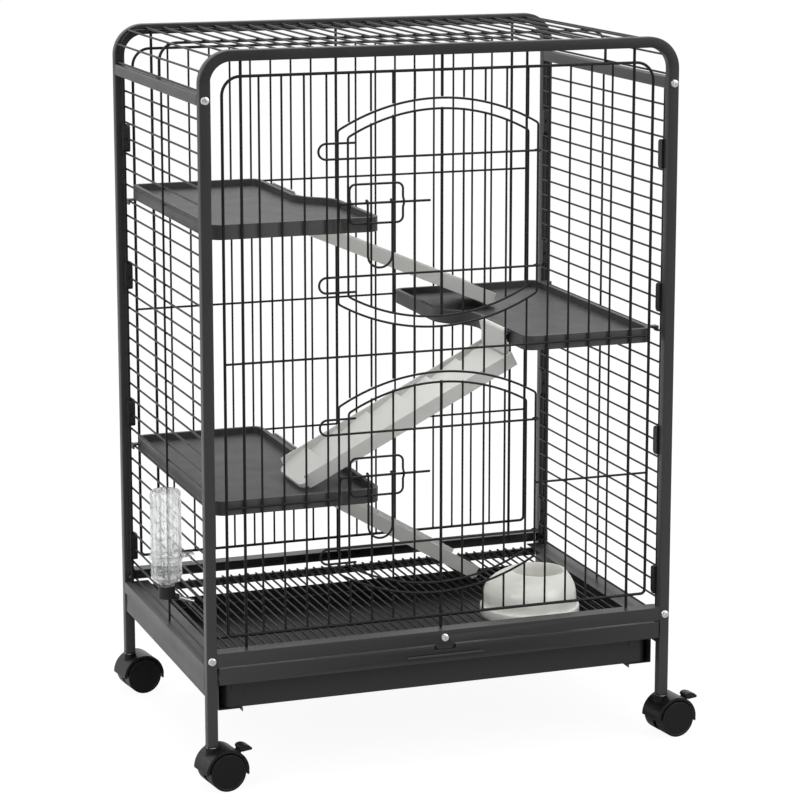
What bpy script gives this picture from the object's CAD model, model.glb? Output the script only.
import math

import bmesh
import bpy
from mathutils import Matrix, Vector


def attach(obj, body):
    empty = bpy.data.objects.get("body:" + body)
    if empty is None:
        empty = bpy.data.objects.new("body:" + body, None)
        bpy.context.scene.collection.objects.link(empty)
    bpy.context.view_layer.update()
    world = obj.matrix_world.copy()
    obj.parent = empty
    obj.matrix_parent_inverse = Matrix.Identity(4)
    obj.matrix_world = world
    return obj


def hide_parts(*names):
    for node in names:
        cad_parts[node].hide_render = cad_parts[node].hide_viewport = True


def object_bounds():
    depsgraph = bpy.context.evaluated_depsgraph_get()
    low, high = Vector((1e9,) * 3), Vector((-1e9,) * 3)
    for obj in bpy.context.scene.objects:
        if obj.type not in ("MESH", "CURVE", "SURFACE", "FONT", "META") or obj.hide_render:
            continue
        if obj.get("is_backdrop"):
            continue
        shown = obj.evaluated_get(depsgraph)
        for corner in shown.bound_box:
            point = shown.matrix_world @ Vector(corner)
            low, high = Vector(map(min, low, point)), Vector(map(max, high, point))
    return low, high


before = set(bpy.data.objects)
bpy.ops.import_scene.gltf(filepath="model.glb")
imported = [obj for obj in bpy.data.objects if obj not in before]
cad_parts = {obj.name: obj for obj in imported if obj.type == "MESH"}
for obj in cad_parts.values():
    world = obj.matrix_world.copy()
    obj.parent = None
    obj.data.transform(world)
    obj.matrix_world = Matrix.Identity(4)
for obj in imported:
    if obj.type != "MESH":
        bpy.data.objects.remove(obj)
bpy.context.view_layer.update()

# Lengths below are in millimetres, as a maker writes them; meshes are made in metres.
MM = 0.001


# Finishes
def linear(hex_colour):
    """sRGB hex to the linear values that the shader takes."""
    parts = [int(hex_colour[i:i + 2], 16) / 255 for i in (1, 3, 5)]
    return [p / 12.92 if p <= 0.04045 else ((p + 0.055) / 1.055) ** 2.4 for p in parts] + [1.0]


def add(tree, kind, inputs=None, **settings):
    """Adds a node; an input is a plain value or another node's output."""
    made = tree.nodes.new(kind)
    for key, value in settings.items():
        setattr(made, key, value)
    for key, value in (inputs or {}).items():
        if isinstance(value, bpy.types.NodeSocket):
            tree.links.new(value, made.inputs[key])
        else:
            made.inputs[key].default_value = value
    return made


def finish(name, shader, pale, dark, mottle_mm, rough, grain_mm, grain_height, edge=None):
    """A surface whose colour drifts between two shades over mottle_mm, whose roughness drifts with it,
    and whose skin has bumps of grain_mm. edge lightens worn edges by mixing in that colour."""
    made = bpy.data.materials.new(name)
    made.use_nodes = True
    tree = made.node_tree
    tree.nodes.clear()
    place = add(tree, "ShaderNodeTexCoord").outputs["Object"]
    drift = add(tree, "ShaderNodeTexNoise", {"Vector": place, "Scale": 1000 / mottle_mm, "Detail": 4.0})
    tint = add(tree, "ShaderNodeMix", {"Factor": drift.outputs["Fac"], 6: linear(dark), 7: linear(pale)},
               data_type="RGBA")
    colour = tint.outputs[2]
    if edge:
        bend = add(tree, "ShaderNodeNewGeometry").outputs["Pointiness"]
        worn = add(tree, "ShaderNodeMapRange", {"Value": bend, "From Min": 0.52, "From Max": 0.60, "To Max": 0.5})
        colour = add(tree, "ShaderNodeMix", {"Factor": worn.outputs["Result"], 6: colour, 7: linear(edge)},
                     data_type="RGBA").outputs[2]
    gloss = add(tree, "ShaderNodeMapRange", {"Value": drift.outputs["Fac"], "From Min": 0.3, "From Max": 0.7,
                                             "To Min": rough[0], "To Max": rough[1]})
    grain = add(tree, "ShaderNodeTexNoise", {"Vector": place, "Scale": 1000 / grain_mm, "Detail": 2.0})
    skin = add(tree, "ShaderNodeBump", {"Height": grain.outputs["Fac"], "Distance": grain_height * MM,
                                        "Strength": 0.6})
    surface = add(tree, "ShaderNodeBsdfPrincipled",
                  {"Base Color": colour, "Roughness": gloss.outputs["Result"], "Normal": skin.outputs["Normal"],
                   **shader})
    add(tree, "ShaderNodeOutputMaterial", {"Surface": surface.outputs["BSDF"]})
    return made


# Charcoal polyester powder coat, oven cured on square tube: satin, with a faint orange peel about
# 2 mm across (drawn 3 mm so that it shows) and slightly paler where it thins over edges.
powder_tube = finish("powder_coat_charcoal", {"IOR": 1.5, "Specular IOR Level": 0.3},
                     "#242425", "#1f1f20", 60, (0.34, 0.42), 3, 0.05, edge="#4a4a4b")
# The same coat on folded sheet.
powder_sheet = finish("powder_coat_sheet", {"IOR": 1.5, "Specular IOR Level": 0.35},
                      "#2e2e2f", "#282829", 90, (0.36, 0.46), 3, 0.05, edge="#505051")
# Black epoxy powder on welded wire: satin, darker than the tube, peel about 1 mm.
powder_wire = finish("powder_coat_wire", {"IOR": 1.4, "Specular IOR Level": 0.3},
                     "#161617", "#111112", 25, (0.38, 0.46), 1.2, 0.03)
# Painted steel pan: smooth stoving enamel with long soft ripples.
enamel_pan = finish("stoving_enamel_pan", {"IOR": 1.5, "Specular IOR Level": 0.35},
                    "#202021", "#1b1b1c", 120, (0.32, 0.40), 6, 0.08, edge="#3f3f40")
# Injection moulded polypropylene shelves with a spark-eroded grain of about 0.5 mm, drawn 1 mm.
shelf_plastic = finish("moulded_pp_shelf", {"IOR": 1.49},
                       "#2f2f30", "#29292a", 45, (0.46, 0.56), 1.0, 0.06, edge="#5c5c5d")
# Pale grey moulded polypropylene ramps: a little light passes into the thin walls.
ramp_plastic = finish("moulded_pp_ramp", {"IOR": 1.49, "Subsurface Weight": 0.08,
                                          "Subsurface Radius": (0.002, 0.002, 0.002)},
                      "#c1c2be", "#b8b9b5", 50, (0.38, 0.46), 1.4, 0.03)
# Glossy moulded polypropylene bowl, warm grey-white, with faint flow ripples.
bowl_plastic = finish("moulded_pp_bowl", {"IOR": 1.49, "Subsurface Weight": 0.08,
                                          "Subsurface Radius": (0.002, 0.002, 0.002), "Coat Weight": 0.2,
                                          "Coat Roughness": 0.1},
                      "#dcdcd6", "#d3d3cc", 40, (0.26, 0.34), 9, 0.05)
# Clips, bottle cap and leg plugs: black moulded nylon with a dull, slightly waxy skin.
black_plastic = finish("moulded_nylon_black", {"IOR": 1.53, "Specular IOR Level": 0.3},
                       "#18181a", "#131314", 30, (0.42, 0.52), 0.8, 0.03)
# Casters: harder, shinier black nylon.
caster_nylon = finish("caster_nylon_black", {"IOR": 1.53, "Specular IOR Level": 0.2},
                      "#111112", "#0c0c0d", 30, (0.30, 0.40), 1.2, 0.03, edge="#2c2c2d")
# Bright zinc plate on small steel parts: cloudy, fine brushed look.
zinc_plate = finish("zinc_plate", {"Metallic": 1.0}, "#c4c5c6", "#a8a9aa", 4, (0.26, 0.36), 0.5, 0.02)
# Nickel-plated pan heads: near-white, bright.
nickel_plate = finish("nickel_plate", {"Metallic": 1.0}, "#e4e4e2", "#d4d4d2", 5, (0.22, 0.30), 0.5, 0.01)
# Blow-moulded clear PET bottle. Its walls are so thin that light passes almost straight, so the IOR is
# set below the 1.57 of the solid plastic and part of the light isn't bent at all.
clear_bottle = finish("clear_pet", {"IOR": 1.2, "Transmission Weight": 1.0, "Specular IOR Level": 0.9,
                                    "Alpha": 0.6},
                      "#fdfefe", "#f8fafb", 30, (0.03, 0.08), 25, 0.01)


# Shaping
def route(points, radii, closed=False, step=7.5):
    """Points of a bent wire: the corners of a polyline, rounded to the given centre-line radii."""
    points = [Vector(p) for p in points]
    count = len(points)
    if not isinstance(radii, (list, tuple)):
        radii = [radii] * count
    out = []
    for i, corner in enumerate(points):
        if not closed and i in (0, count - 1):
            out.append(corner)
            continue
        before = (points[i - 1] - corner).normalized()
        after = (points[(i + 1) % count] - corner).normalized()
        angle = math.pi - before.angle(after)
        if angle < 1e-4 or radii[i] <= 0:
            out.append(corner)
            continue
        reach = radii[i] * math.tan(angle / 2)
        middle = corner + (before + after).normalized() * (radii[i] / math.cos(angle / 2))
        start = corner + before * reach - middle
        axis = start.cross(corner + after * reach - middle).normalized()
        pieces = max(2, math.ceil(math.degrees(angle) / step))
        for k in range(pieces + 1):
            out.append(middle + Matrix.Rotation(angle * k / pieces, 3, axis) @ start)
    return out


def arc(centre, radius, start, end, across, up, step=4):
    """Points of an arc about centre; across and up are the directions of 0 and 90 degrees."""
    count = max(2, math.ceil(abs(end - start) / step))
    angles = [math.radians(start + (end - start) * k / count) for k in range(count + 1)]
    return [Vector(centre) + radius * (math.cos(a) * Vector(across) + math.sin(a) * Vector(up)) for a in angles]


class Shape:
    """Collects faces in millimetres until they are made into one piece."""

    def __init__(self):
        self.verts, self.faces = [], []

    def put(self, verts, faces):
        base = len(self.verts)
        self.verts += [Vector(v) for v in verts]
        self.faces += [[base + i for i in face] for face in faces]

    def sweep(self, points, outline, closed=False, first=None, end_bevel=0.0):
        """Carries an outline of (sideways, upwards) points along a route. first is the direction that
        sideways has at the start; end_bevel rounds the open ends by that length."""
        points = [Vector(p) for p in points]
        count, sides = len(points), len(outline)
        rings = []
        ahead = (points[1] - points[0]).normalized()
        side = Vector(first) if first else ahead.orthogonal()
        side = (side - ahead * side.dot(ahead)).normalized()
        heading = ahead
        for i, p in enumerate(points):
            last = points[i - 1] if i or closed else p
            following = points[(i + 1) % count] if closed or i < count - 1 else p
            inwards = (p - last).normalized() if (p - last).length else Vector()
            onwards = (following - p).normalized() if (following - p).length else Vector()
            tangent = (inwards + onwards).normalized()
            side = heading.rotation_difference(tangent) @ side
            heading = tangent
            turn = inwards.angle(onwards) if inwards.length and onwards.length else 0
            rings.append((p, tangent, side, side.cross(tangent), 1 / math.cos(turn / 2), onwards - inwards))
        loops = []
        for p, tangent, s, u, stretch, bend in rings:
            b = bend.normalized() if stretch > 1.0001 else None
            loop = []
            for x, y in outline:
                offset = s * x + u * y
                if b:
                    offset += b * offset.dot(b) * (stretch - 1)
                loop.append(p + offset)
            loops.append(loop)
        if end_bevel and not closed:
            for at, sign in ((0, 1), (-1, -1)):
                p, tangent = rings[at][0], rings[at][1]
                inner = [v + tangent * sign * end_bevel for v in loops[at]]
                tip = [p + (v - p) * 0.62 for v in loops[at]]
                loops = [tip, inner] + loops[1:] if at == 0 else loops[:-1] + [inner, tip]
        verts = [v for loop in loops for v in loop]
        total = len(loops)
        faces = []
        for i in range(total if closed else total - 1):
            a, b = i * sides, (i + 1) % total * sides
            faces += [[a + k, a + (k + 1) % sides, b + (k + 1) % sides, b + k] for k in range(sides)]
        if not closed:
            faces += [list(range(sides))[::-1], [(total - 1) * sides + k for k in range(sides)]]
        self.put(verts, faces)

    def wire(self, points, radius, closed=False, sides=12):
        """A round wire along a route, its cut ends slightly rounded."""
        ring = [(radius * math.cos(2 * math.pi * k / sides), radius * math.sin(2 * math.pi * k / sides))
                for k in range(sides)]
        self.sweep(points, ring, closed, end_bevel=0 if closed else 0.45 * radius)

    def bead(self, centre, size, rings=5, sides=8):
        """A weld nugget: a small flattened ball that joins two crossing wires."""
        verts = [Vector((0, 0, -size[2]))]
        for i in range(1, rings):
            a = math.pi * i / rings - math.pi / 2
            verts += [Vector((size[0] * math.cos(a) * math.cos(2 * math.pi * k / sides),
                              size[1] * math.cos(a) * math.sin(2 * math.pi * k / sides),
                              size[2] * math.sin(a))) for k in range(sides)]
        verts.append(Vector((0, 0, size[2])))
        top = len(verts) - 1
        faces = [[0, 1 + (k + 1) % sides, 1 + k] for k in range(sides)]
        for i in range(rings - 2):
            a, b = 1 + i * sides, 1 + (i + 1) * sides
            faces += [[a + k, a + (k + 1) % sides, b + (k + 1) % sides, b + k] for k in range(sides)]
        a = 1 + (rings - 2) * sides
        faces += [[a + k, a + (k + 1) % sides, top] for k in range(sides)]
        self.put([Vector(centre) + v for v in verts], faces)

    def loft(self, rings, sides=72):
        """Skins circles (centre x, centre y, z, radius), from the first to the last, closed at both."""
        verts, faces = [], []
        for x, y, z, r in rings:
            turns = [2 * math.pi * k / sides for k in range(sides)]
            verts += [Vector((x + r * math.cos(a), y + r * math.sin(a), z)) for a in turns]
        for i in range(len(rings) - 1):
            a, b = i * sides, (i + 1) * sides
            faces += [[a + k, a + (k + 1) % sides, b + (k + 1) % sides, b + k] for k in range(sides)]
        faces += [list(range(sides))[::-1], [(len(rings) - 1) * sides + k for k in range(sides)]]
        self.put(verts, faces)

    def make(self, name, material, body, nodes, sharp=35):
        """Turns the faces into one piece that stands in for the named solids."""
        mesh = bpy.data.meshes.new(name)
        mesh.from_pydata([v * MM for v in self.verts], [], self.faces)
        return settle(name, mesh, material, body, nodes, sharp)


def settle(name, mesh, material, body, nodes, sharp):
    """Makes a mesh into a named piece of a body, smooth but for edges over sharp degrees."""
    work = bmesh.new()
    work.from_mesh(mesh)
    bmesh.ops.recalc_face_normals(work, faces=work.faces)
    work.to_mesh(mesh)
    work.free()
    mesh.shade_smooth()
    mesh.set_sharp_from_angle(angle=math.radians(sharp))
    mesh.materials.clear()
    mesh.materials.append(material)
    piece = bpy.data.objects.new(name, mesh)
    bpy.context.scene.collection.objects.link(piece)
    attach(piece, body)
    if nodes:
        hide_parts(*nodes)
    return piece


def softened(node, name, material, body, edge_mm, segments=2, sharp=35):
    """A copy of a solid with its flat facets merged and its edges rounded by edge_mm."""
    work = bmesh.new()
    work.from_mesh(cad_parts[node].data)
    bmesh.ops.remove_doubles(work, verts=work.verts, dist=1e-6)
    bmesh.ops.dissolve_limit(work, angle_limit=math.radians(0.5), verts=work.verts, edges=work.edges)
    mesh = bpy.data.meshes.new(name)
    work.to_mesh(mesh)
    work.free()
    piece = settle(name, mesh, material, body, [node], sharp)
    bevel = piece.modifiers.new("edges", "BEVEL")
    bevel.width = edge_mm * MM
    bevel.segments = segments
    bevel.limit_method = "ANGLE"
    bevel.angle_limit = math.radians(sharp)
    bevel.use_clamp_overlap = True
    even = piece.modifiers.new("even", "WEIGHTED_NORMAL")
    even.keep_sharp = True
    return piece


# Sizes shared by the pieces
cage_w, cage_d, cage_h = 650, 442, 952.5
tube, bend_r, leg_z = 14, 42, 58
post_x, post_y = cage_w / 2 - tube / 2, cage_d / 2 - tube / 2
inner_y = cage_d / 2 - tube
rail_z, rail_h = 891, 15
base_z, base_rail_h = 163, 18
base_rail_top = base_z + base_rail_h
# Radii of the wires and the gap at their welds. The panels' wires are 0.1 to 0.15 mm larger than in the
# solids, because fine dark wires look thinner against white than they are.
thin, thick, cross, door_r, rod_r, weld = 1.4, 1.95, 1.5, 1.5, 1.6, 0.03
# Running clearance of the latch rod and the hinge eyes
gap = 0.35
thin_y, thick_y = inner_y - thin - weld, inner_y - thick - weld
cross_y, frame_y, loop_y = inner_y + cross, inner_y + thick, inner_y + door_r
bar_y = loop_y + 2 * door_r + gap
rod_y = loop_y + door_r + gap + rod_r
wrap_r = rod_r + gap + door_r
handle_y = rod_y + wrap_r
door_x, door_w, door_h, door_rise, door_edge = -5.2, 136.5, 148, 37, 13.5
doors = {"upper": 734.7, "lower": 378.7}
columns = [-37 - 29.6 * i for i in range(8)] + [29.6 * i for i in range(1, 9)]
hinge_x = door_x + door_w
rod_z = 17.7
side_x, side_pitch, side_top = 312, 21.6, 862
nugget = (1.6, 1.2, 1.6)


# Tube frames and rails
def rounded_box(width, height, radius, corners=4):
    """Outline of a tube: a rectangle with rounded corners."""
    out = []
    for i, (sx, sy) in enumerate(((1, 1), (-1, 1), (-1, -1), (1, -1))):
        for k in range(corners + 1):
            a = math.radians(90 * (i + k / corners))
            out.append((sx * (width / 2 - radius) + radius * math.cos(a),
                        sy * (height / 2 - radius) + radius * math.sin(a)))
    return out


# Outer corner radius of the square tubes
tube_edge = 1.6
for name, y in (("front", -post_y), ("rear", post_y)):
    shape = Shape()
    top = cage_h - tube / 2
    shape.sweep(route([(-post_x, y, leg_z), (-post_x, y, top), (post_x, y, top), (post_x, y, leg_z)],
                      bend_r - tube / 2, step=5),
                rounded_box(tube, tube, tube_edge), first=(0, 1, 0), end_bevel=0.0)
    shape.make(name + "_tube", powder_tube, "frame", [name + "_frame"], 50)
for name, x in (("left", -post_x), ("right", post_x)):
    shape = Shape()
    shape.sweep([(x, -inner_y, rail_z), (x, inner_y, rail_z)], rounded_box(tube, rail_h, tube_edge),
                first=(1, 0, 0))
    shape.make("top_rail_tube_" + name, powder_tube, "frame", ["top_rail_" + name], 50)


# Welded wire panels
def doorway_arch(u):
    """Height of a doorway's edge above its centre, at distance u from its middle."""
    r = (door_w ** 2 + door_rise ** 2) / (2 * door_rise)
    return door_h - r + math.sqrt(r * r - u * u)


def stretches(x, low, high):
    """Runs of an upright wire that the doorways leave."""
    if abs(x - door_x) >= door_w - 3:
        return [(low, high)]
    h = doorway_arch(x - door_x) + door_r
    return [(low, doors["lower"] - h), (doors["lower"] + h, doors["upper"] - h), (doors["upper"] + h, high)]


# Half width and height range of the front and rear panels, the outer thick wires' place, the height of
# the hoops over them, and how far the rear panel sits to the left
panel_w, panel_z0, panel_z1 = 293, 199.7, 918.7
outer_thick, hoop_z, rear_shift = 267.5, 944, 6.5
for name, side, levels in (("front", -1, (367.7, 555.2)), ("rear", 1, (369, 555, 728))):
    shape = Shape()
    with_doors = side < 0
    move = 0 if with_doors else -rear_shift
    corners = [(-panel_w, panel_z0), (panel_w, panel_z0), (panel_w, panel_z1), (-panel_w, panel_z1)]
    edge_wire = route([(x + move, side * frame_y, z) for x, z in corners], [6, 6, 24, 24], closed=True)
    shape.wire(edge_wire, thick, closed=True)
    uprights = [(x, thin, thin_y, panel_z0, panel_z1) for x in columns]
    uprights += [(x, thick, thick_y, base_rail_top, hoop_z + 1) for x in (-outer_thick, 0, outer_thick)]
    for x, r, y, low, high in uprights:
        for z0, z1 in (stretches(x, low, high) if with_doors else [(low, high)]):
            shape.wire([(x + move, side * y, z0), (x + move, side * y, z1)], r)
            for z in (panel_z0, panel_z1, *levels):
                if z0 <= z <= z1:
                    shape.bead((x + move, side * (inner_y - 0.05), z), nugget)
    end = panel_w - thick - 0.1
    for z in levels:
        runs = [(-end, end)]
        if with_doors and abs(z - doors["lower"]) < door_h - door_rise:
            runs = [(-end, door_x - door_w - door_r - 0.1), (door_x + door_w + door_r + 0.1, end)]
        for x0, x1 in runs:
            shape.wire([(x0 + move, side * cross_y, z), (x1 + move, side * cross_y, z)], cross)
            for x in (x0, x1):
                shape.bead((x + move, side * cross_y, z), (1.9, 1.5, 1.6))
    shape.make(name + "_wire_panel", powder_wire, "frame", [name + "_panel"])

rows = [side_top - side_pitch * i for i in range(int((side_top - base_z) / side_pitch) + 1)]
for name, side in (("left", -1), ("right", 1)):
    shape = Shape()
    for z in rows:
        shape.wire([(side * side_x, -inner_y, z), (side * side_x, inner_y, z)], thin)
    for y, r in ((-inner_y + 8, thick), (0, cross), (inner_y - 8, thick)):
        x = side * (side_x + thin + r + weld)
        shape.wire([(x, y, base_z), (x, y, rail_z - rail_h / 2)], r)
        for z in rows:
            shape.bead((side * (side_x + thin), y, z), (1.1, 1.5, 1.4))
    shape.make("side_wire_panel_" + name, powder_wire, "frame", ["side_panel_" + name])

# Top panel: three hoops with wires laid across them, round both shoulders of the cage
rail_top = rail_z + rail_h / 2
hoop_x, hoop_r = post_x - 1, 24
wire_arc = hoop_r + thick + thin + weld
hoop_leg = hoop_z - hoop_r - rail_top
hoop_flat = 2 * (hoop_x - hoop_r)
quarter = math.pi / 2 * wire_arc


def over_hoop(s):
    """Place of a top wire at distance s along the hoops, from the right-hand foot."""
    if s > hoop_leg + quarter + hoop_flat / 2:
        x, z = over_hoop(2 * (hoop_leg + quarter) + hoop_flat - s)
        return -x, z
    if s < hoop_leg:
        return hoop_x - hoop_r + wire_arc, rail_top + s
    if s < hoop_leg + quarter:
        a = (s - hoop_leg) / wire_arc
        return hoop_x - hoop_r + wire_arc * math.cos(a), hoop_z - hoop_r + wire_arc * math.sin(a)
    return hoop_x - hoop_r - (s - hoop_leg - quarter), hoop_z - hoop_r + wire_arc


shape = Shape()
hoop_y = inner_y - 5.5
for y in (-hoop_y, 0, hoop_y):
    hoop = [(hoop_x, y, rail_top), (hoop_x, y, hoop_z), (-hoop_x, y, hoop_z), (-hoop_x, y, rail_top)]
    shape.wire(route(hoop, hoop_r), thick)
start = thin + 1.5
run = 2 * (hoop_leg + quarter) + hoop_flat - 2 * start
top_pitch = 24.6
count = round(run / top_pitch)
for i in range(count + 1):
    x, z = over_hoop(min(start + i * run / count, start + run - 0.001))
    shape.wire([(x, -inner_y, z), (x, inner_y, z)], thin)
    for y in (-hoop_y, 0, hoop_y):
        shape.bead((x, y, z - thin), (1.5, 1.5, 1.1))
shape.make("top_wire_panel", powder_wire, "frame", ["top_panel"])

# Floor: thin wires from front to back over four cross wires
shape = Shape()
floor_wire_z, floor_pitch, floor_x = base_z - 4.5, 12.5, 304
floor_top = floor_wire_z + thin
cross_rows = (-190, -75, 75, 190)
for i in range(-23, 23):
    x = (i + 0.5) * floor_pitch
    shape.wire([(x, -202.5, floor_wire_z), (x, 206, floor_wire_z)], thin)
    for y in cross_rows:
        shape.bead((x, y, floor_wire_z - thin), (1.4, 1.4, 1.0))
for y in cross_rows:
    level = floor_wire_z - thin - weld - cross
    shape.wire([(-floor_x, y, level), (floor_x, y, level)], cross)
shape.make("floor_wire_grid", powder_wire, "frame", ["floor_grid"])


# Doors and latches
def barrel(w, h, rise, y, z, corner=5):
    """Closed loop with straight sides and arched top and bottom, its four corners bent by a small radius."""
    r = (w * w + rise * rise) / (2 * rise)
    edge = math.degrees(math.acos(w / r))
    top = arc((door_x, y, z + h - r), r, edge, 180 - edge, (1, 0, 0), (0, 0, 1), 2)
    bottom = arc((door_x, y, z - h + r), r, 180 + edge, 360 - edge, (1, 0, 0), (0, 0, 1), 2)
    points = top + bottom
    radii = [0.0] * len(points)
    for i in (0, len(top) - 1, len(top), len(points) - 1):
        radii[i] = corner
    return route(points, radii, closed=True)


# The ring's bow round the rod, the keeper's wire, and the bars' height above and below the door's middle
bow_half, bow_out, bow_lean, keeper_r = 7.8, 4.3, math.radians(34), 1.4
bar_rise = 75.5
# Ends of the hairpins: their free ends, the middle of their bends and the bends' radius
bar_end_x, bar_bend_x, bar_bend_r = -119.5, -158.5, 10
ring_x, ring_low, ring_high, ring_corner, bow_corner = (-127.5, -55.5), -8.3, 42.2, 8, 2.4
rod_length = 122
pull_x, pull_length = (-104.2, -71.2), 83
for name, z in doors.items():
    door, frame_body = name + "_door", "frame"
    shape = Shape()
    shape.wire(barrel(door_w, door_h, door_rise, -loop_y, z), door_r, closed=True)
    keeper_x, keeper_y = door_x - door_w, loop_y + door_r + keeper_r + weld
    out = rod_y + rod_r + 0.3 + keeper_r
    shape.wire(route([(keeper_x, -keeper_y, z - 5), (keeper_x, -keeper_y, z + rod_z - 2.2 - out + keeper_y),
                      (keeper_x, -out, z + rod_z - 2.2), (keeper_x, -out, z + rod_z + 3)], 1.8), keeper_r)
    shape.make(door + "way_wire", powder_wire, frame_body, [door + "_opening"])

    shape = Shape()
    w, h, rise = door_w - door_edge, door_h - door_edge, door_rise - 4.5
    arch = (w * w + rise * rise) / (2 * rise)
    shape.wire(barrel(w, h, rise, -loop_y, z), door_r, closed=True)
    for x in columns + [0]:
        if abs(x - door_x) < w - 6:
            r = thin if x else thick
            reach = h - arch + math.sqrt(arch ** 2 - (x - door_x) ** 2) + door_r
            y = -(loop_y - door_r - r - weld)
            shape.wire([(x, y, z - reach), (x, y, z + reach)], r)
            for s in (-1, 1):
                shape.bead((x, -inner_y, z + s * (reach - door_r)), (1.5, 1.1, 1.5))
                shape.bead((x, -inner_y - 1.6, z + s * bar_rise), (1.5, 2.2, 1.5))
    shape.make(door + "_wires", powder_wire, door, [door + "_grille"])

    shape = Shape()
    eye = bar_y - loop_y
    for s in (-1, 1):
        level = z + s * bar_rise
        turn = arc((hinge_x, -loop_y, level), eye, -90, 160, (1, 0, 0), (0, 1, 0), 12)
        ends = arc((bar_bend_x, -bar_y, level + s * bar_bend_r), bar_bend_r, 90 * s, 270 * s,
                   (1, 0, 0), (0, 0, 1), 9)
        shape.wire([(bar_end_x, -bar_y, level + s * 2 * bar_bend_r)] + ends + turn, door_r)
        shape.bead((door_x - w, -loop_y - door_r - 0.2, level), (1.7, 1.5, 1.7))
        shape.bead((door_x + w, -loop_y - door_r - 0.2, level), (1.7, 1.5, 1.7))
    shape.make(door + "_hairpins", powder_wire, door, [door + "_bars"])

    shape = Shape()
    x0, x1, z0, z1 = *ring_x, z + ring_low, z + ring_high
    lean = bow_out * math.cos(bow_lean)
    mid = z + rod_z

    def stem(x, up):
        """The ring's side with its bow round the rod, from below or from above."""
        points = [(x, -bar_y, mid - bow_half + 1.2), (x, -bar_y - lean, mid - 2.2),
                  (x, -bar_y - lean, mid + 2.2), (x, -bar_y, mid + bow_half - 1.2)]
        return points if up else points[::-1]

    corners = [(x0, -bar_y, z0), (x1, -bar_y, z0), *stem(x1, True),
               (x1, -bar_y, z1), (x0, -bar_y, z1), *stem(x0, False)]
    bends = 2 * ([ring_corner] * 2 + [bow_corner] * 4)
    shape.wire(route(corners, bends, closed=True), door_r, closed=True)
    shape.make(name + "_latch_ring_wire", powder_wire, door, [name + "_latch_ring"])

    shape = Shape()
    tip = door_x - door_w + keeper_r + gap
    shape.wire([(tip, -rod_y, mid), (tip + rod_length, -rod_y, mid)], rod_r, sides=16)
    shape.make(name + "_latch_bolt", powder_wire, name + "_rod", [name + "_latch_rod"])

    shape = Shape()
    h0, h1 = pull_x
    half_w = (h1 - h0) / 2
    low = mid - (pull_length - half_w)
    hook = [Vector((h0, -rod_y - wrap_r * math.cos(math.radians(a)), mid + wrap_r * math.sin(math.radians(a))))
            for a in range(150, -1, -10)]
    loop = arc(((h0 + h1) / 2, -handle_y, low), half_w, 180, 360, (1, 0, 0), (0, 0, 1), 8)
    hook2 = [Vector((h1, v.y, v.z)) for v in reversed(hook)]
    shape.wire(hook + loop + hook2, door_r, sides=14)
    shape.make(name + "_latch_pull", powder_wire, name + "_handle", [name + "_latch_handle"])


# Carried-over solids with rounded edges
frame_solids = [
    ("base_rail_front", powder_tube, "tube_paint", 0.4), ("base_rail_rear", powder_tube, "tube_paint", 0.4),
    ("base_side_left", powder_sheet, "sheet_paint", 0.4), ("base_side_right", powder_sheet, "sheet_paint", 0.4),
    ("tray_runner_left", powder_sheet, "sheet_paint", 0.4),
    ("tray_runner_right", powder_sheet, "sheet_paint", 0.4),
    ("floor_strip_front", powder_sheet, "sheet_paint", 0.4),
    ("floor_strip_rear", powder_sheet, "sheet_paint", 0.4),
    ("post_clips", black_plastic, "black_plastic", 1.0), ("leg_plugs", black_plastic, "black_plastic", 0.4),
    ("platform_upper", shelf_plastic, "shelf_plastic", 0.8),
    ("platform_middle", shelf_plastic, "shelf_plastic", 0.8),
    ("platform_lower", shelf_plastic, "shelf_plastic", 0.8), ("bottle_cap", black_plastic, "black_plastic", 0.8),
    ("frame_screws", nickel_plate, "screw_nickel", 0.15), ("caster_stems", zinc_plate, "zinc", 0.2),
    ("bottle_clip", clear_bottle, "clear_plastic", 0.5), ("bottle_spout", zinc_plate, "zinc", 0.2),
    ("rail_inserts", zinc_plate, "zinc", 0.3), ("frame_nuts", powder_wire, "wire_paint", 0.2),
]
for node, material, slot, edge in frame_solids:
    softened(node, node + "_piece", material, "frame", edge)
for node in ("upper", "middle", "lower"):
    softened("ramp_" + node, "ramp_" + node + "_piece", ramp_plastic, "ramp_" + node, 0.7)
softened("tray_pan", "pan_piece", enamel_pan, "tray", 0.6)
softened("tray_front", "pan_front_piece", powder_tube, "tray", 0.4)
for leg in ("front_left", "front_right", "rear_left", "rear_right"):
    softened("hood_" + leg, "caster_hood_" + leg, caster_nylon, "caster_" + leg, 0.5)
    softened("wheels_" + leg, "caster_wheels_" + leg, caster_nylon, "wheel_" + leg, 0.9, 3)
    if leg.startswith("front"):
        softened("brake_" + leg, "brake_lever_" + leg, caster_nylon, "brake_" + leg, 0.6)

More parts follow.
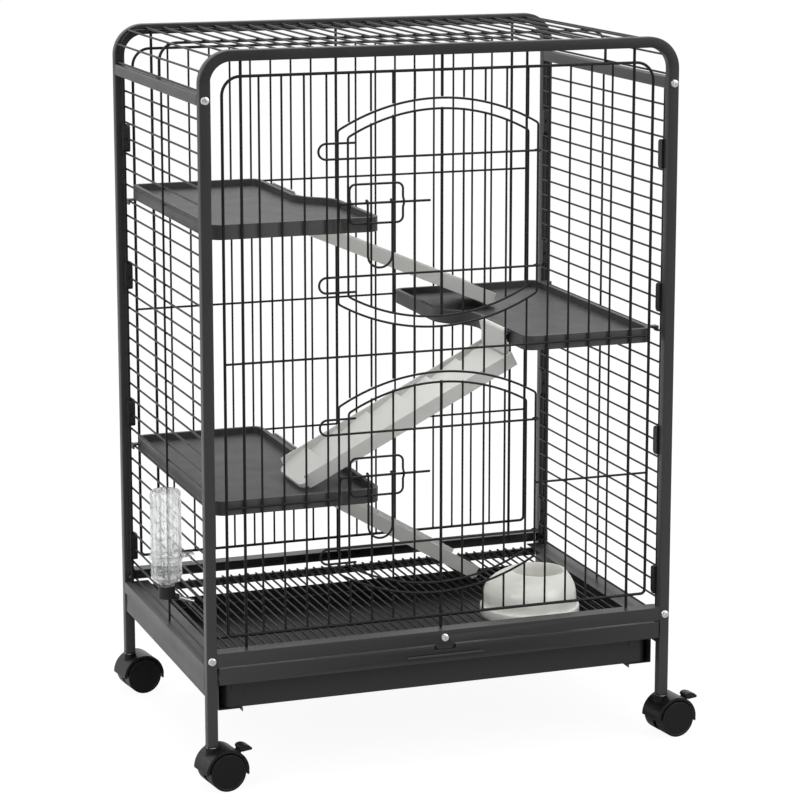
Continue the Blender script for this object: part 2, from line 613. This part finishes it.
# Bowl
# Rings (sideways shift, height, radius) from the foot's underside up over the dome, through the mouth and
# down into the cup, and the same way inside the wall
shape = Shape()
bowl_x, bowl_y, bowl_z = 163, -117, floor_top + 0.2
outside = [(0, 0.4, 67.2), (0, 1.2, 68), (0, 12.2, 68), (0, 13.4, 67.6), (0, 14, 66.4), (0, 14.3, 65.2),
           (0, 15.2, 64.5), (0, 22, 64), (0, 30, 63.5), (0.2, 35.5, 62.5), (0.7, 40, 61), (1.8, 45.4, 57.6),
           (3.4, 50, 53.6), (5.6, 54, 48.8), (8, 57, 44.4), (10.4, 59, 40.6), (11.6, 59.8, 38), (12, 60, 36.2),
           (12, 59.6, 34.8), (12, 58.4, 34), (12, 52, 33.3), (12, 30, 32.4), (12, 12, 31.4), (12, 8.6, 30),
           (12, 7, 27), (12, 6.5, 22)]
inside = [(0, 0, 66), (0, 0, 62), (0, 14, 61.6), (0, 30, 60.8), (1.8, 42, 55), (5.6, 50.6, 46), (10, 55.6, 39),
          (12, 54, 36.6), (12, 30, 35), (12, 8, 33.4), (12, 4.6, 31.6), (12, 4, 28)]
shape.loft([(bowl_x + s, bowl_y, bowl_z + z, r) for s, z, r in inside[::-1] + outside], 96)
shape.make("bowl_piece", bowl_plastic, "bowl", ["bowl"], 60)

# Bottle
# Rings (height, radius) from the neck up over the shoulder, with two grooves, and the wall's inside
shape = Shape()
bottle_x, bottle_y, bottle_z, bottle_wall = -344.5, -100, 243.5, 1.1
outer = [(0, 9.4), (0, 10.2), (2, 10.2), (3.4, 11.4), (6, 15), (8.6, 17.8), (11, 19.6), (13.4, 20.4), (15, 20.5),
         (30, 20.5), (31, 20.1), (32.4, 20.1), (33.4, 20.5),
         (108, 20.5), (109, 20.1), (110.4, 20.1), (111.4, 20.5),
         (123.5, 20.5), (126.1, 19.8), (127.9, 18.2), (128.5, 16)]
inner = [(h if h < 112 else h - bottle_wall, r - bottle_wall) for h, r in outer[1:]]
shape.loft([(bottle_x, bottle_y, bottle_z + h, r) for h, r in inner[::-1] + outer], 64)
shape.make("bottle_shell", clear_bottle, "frame", ["bottle_body"], 60)

# Studio
scene = bpy.context.scene
scene.view_settings.view_transform = "Standard"
scene.view_settings.look = "None"

reach = 30
ground = bpy.data.meshes.new("studio_floor")
ground.from_pydata([(-reach, -reach, 0), (reach, -reach, 0), (reach, reach, 0), (-reach, reach, 0)], [],
                   [[0, 1, 2, 3]])
floor = bpy.data.objects.new("studio_floor", ground)
scene.collection.objects.link(floor)
pale = bpy.data.materials.new("studio_paper")
pale.use_nodes = True
paper = pale.node_tree
# Pure white to the eye, with only a breath of shadow: a glow just short of white on a dark base, which
# the lamps lift to white. Where the cage mirrors the paper it is grey, paler towards the back.
looked_at = add(paper, "ShaderNodeLightPath").outputs["Is Camera Ray"]
depth = add(paper, "ShaderNodeSeparateXYZ", {"Vector": add(paper, "ShaderNodeTexCoord").outputs["Object"]})
far = add(paper, "ShaderNodeMapRange", {"Value": depth.outputs["Y"], "From Min": -0.5, "From Max": 0.8})
mirrored = add(paper, "ShaderNodeMix",
               {"Factor": far.outputs["Result"], 6: linear("#a0a0a0"), 7: linear("#cccccc")}, data_type="RGBA")
shade = add(paper, "ShaderNodeMix", {"Factor": looked_at, 6: mirrored.outputs[2], 7: linear("#4a4a4a")},
            data_type="RGBA")
lift = add(paper, "ShaderNodeMath", {0: looked_at, 1: 0.93}, operation="MULTIPLY")
surface = paper.nodes["Principled BSDF"]
paper.links.new(shade.outputs[2], surface.inputs["Base Color"])
paper.links.new(lift.outputs["Value"], surface.inputs["Emission Strength"])
surface.inputs["Emission Color"].default_value = (1, 1, 1, 1)
surface.inputs["Roughness"].default_value = 0.9
surface.inputs["Specular IOR Level"].default_value = 0.0
ground.materials.append(pale)
floor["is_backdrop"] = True

world = bpy.data.worlds.new("studio")
scene.world = world
world.use_nodes = True
sky = world.node_tree
sky.nodes.clear()
# A white cyclorama that is bright above and behind and dim on the camera's side
direction = add(sky, "ShaderNodeSeparateXYZ", {"Vector": add(sky, "ShaderNodeTexCoord").outputs["Generated"]})
behind = add(sky, "ShaderNodeMapRange", {"Value": direction.outputs["Y"], "From Min": -0.6, "From Max": 0.5,
                                         "To Min": 0.4, "To Max": 1.1})
above = add(sky, "ShaderNodeMapRange", {"Value": direction.outputs["Z"], "From Min": 0.25, "From Max": 0.9,
                                        "To Min": 0.0, "To Max": 1.0})
glow = add(sky, "ShaderNodeMix", {"Factor": above.outputs["Result"], 2: behind.outputs["Result"], 3: 1.3})
paths = add(sky, "ShaderNodeLightPath")
seen = add(sky, "ShaderNodeMath", {0: paths.outputs["Is Camera Ray"], 1: paths.outputs["Is Transmission Ray"]},
           operation="MAXIMUM")
level = add(sky, "ShaderNodeMix", {"Factor": seen.outputs["Value"], 2: glow.outputs[0], 3: 1.0})
backdrop = add(sky, "ShaderNodeBackground", {"Color": (1, 1, 1, 1), "Strength": level.outputs[0]})
add(sky, "ShaderNodeOutputWorld", {"Surface": backdrop.outputs["Background"]})


def lamp(name, place, aim, size, power):
    light = bpy.data.lights.new(name, "AREA")
    light.shape = "RECTANGLE"
    light.size, light.size_y = size
    light.energy = power
    made = bpy.data.objects.new(name, light)
    scene.collection.objects.link(made)
    made.location = place
    made.rotation_euler = (Vector(place) - Vector(aim)).to_track_quat("Z", "Y").to_euler()


lamp("left_softbox", (-3.2, -1.6, 2.6), (0, 0, 0.5), (2.2, 2.2), 78)
lamp("right_softbox", (2.6, -3.2, 2.2), (0, 0, 0.5), (2.0, 2.6), 70)
lamp("top_softbox", (0, 0.4, 3.4), (0, 0, 0.5), (2.5, 2.5), 72)

# The camera stands front left of the cage and slightly above it, 3.8 m from its middle
yaw, pitch, distance = math.radians(-19.70), math.radians(10.91), 3.8116
aim = Vector((16.3, 0, 535.9)) * MM
back = Vector((math.sin(yaw) * math.cos(pitch), -math.cos(yaw) * math.cos(pitch), math.sin(pitch)))
lens = bpy.data.cameras.new("camera")
lens.lens = 125.4
lens.sensor_width = 36
lens.shift_y = -0.08125
camera = bpy.data.objects.new("camera", lens)
scene.collection.objects.link(camera)
camera.location = aim + back * distance
camera.rotation_euler = back.to_track_quat("Z", "Y").to_euler()
scene.camera = camera

low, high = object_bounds()
